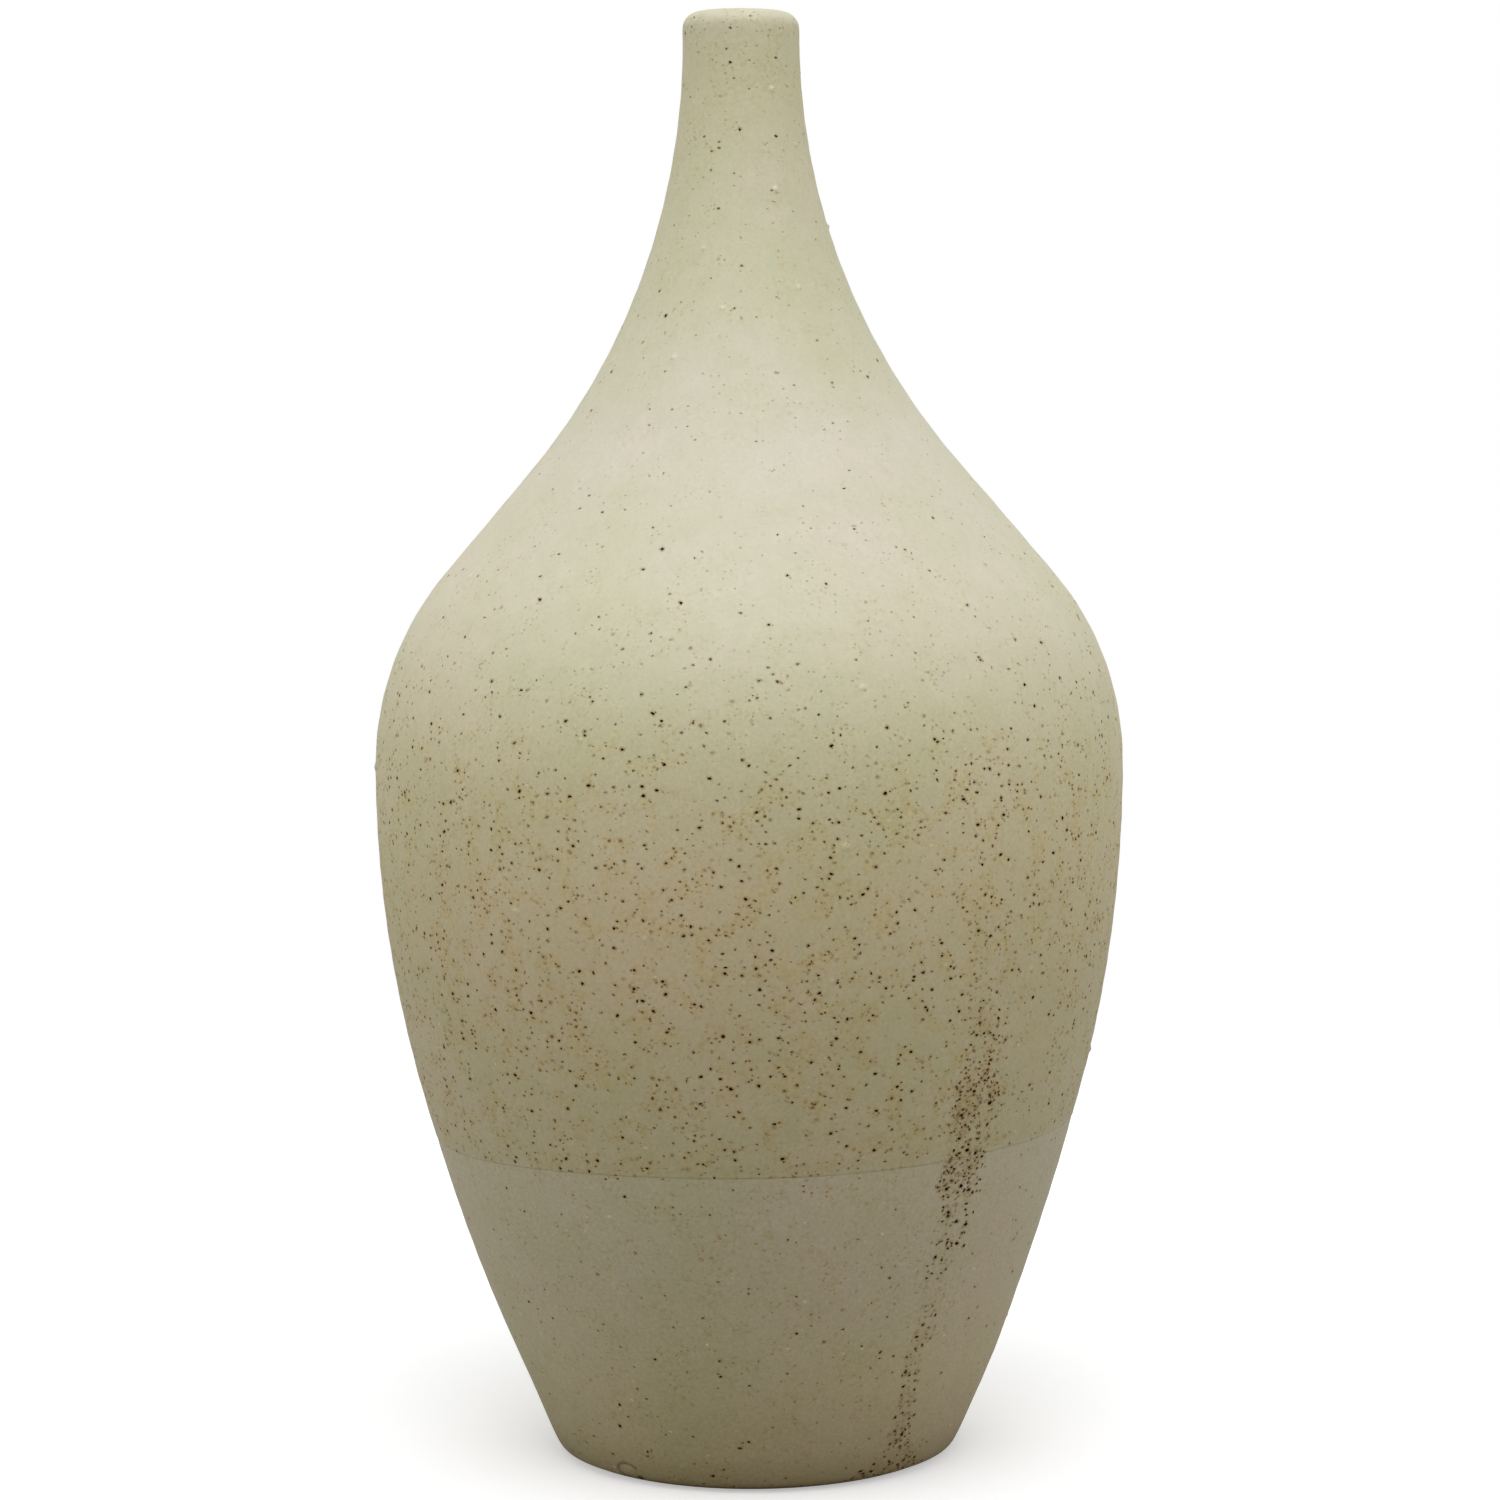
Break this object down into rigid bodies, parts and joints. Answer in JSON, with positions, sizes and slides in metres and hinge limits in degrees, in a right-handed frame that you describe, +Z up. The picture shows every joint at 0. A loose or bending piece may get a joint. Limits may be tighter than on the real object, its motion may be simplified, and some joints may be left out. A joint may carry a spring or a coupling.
{
  "type": "vase",
  "caption": "Narrow-necked stoneware bottle vase with a round shoulder, tapering lower body, speckled matte glaze in two dipped coats and a turned foot ring.",
  "frame": {"origin": "centre of the foot on the table, on the turning axis", "axes": "+Z up from the foot to the lip, -Y towards the front, +X to the right seen from the front"},
  "size_m": [0.1582, 0.1582, 0.305],
  "materials": {
    "stoneware": "bare fired stoneware, warm buff with iron specks, matte and slightly gritty",
    "liner_glaze": "satin cream glaze poured inside",
    "base_glaze": "matte greyish cream glaze, few specks",
    "upper_glaze": "matte cream glaze with many dark brown iron specks on the belly"
  },
  "bodies": {
    "root": {"stoneware_body": "stoneware", "liner_glaze": "liner_glaze", "base_glaze": "base_glaze", "upper_glaze": "upper_glaze"}
  },
  "joints": []
}
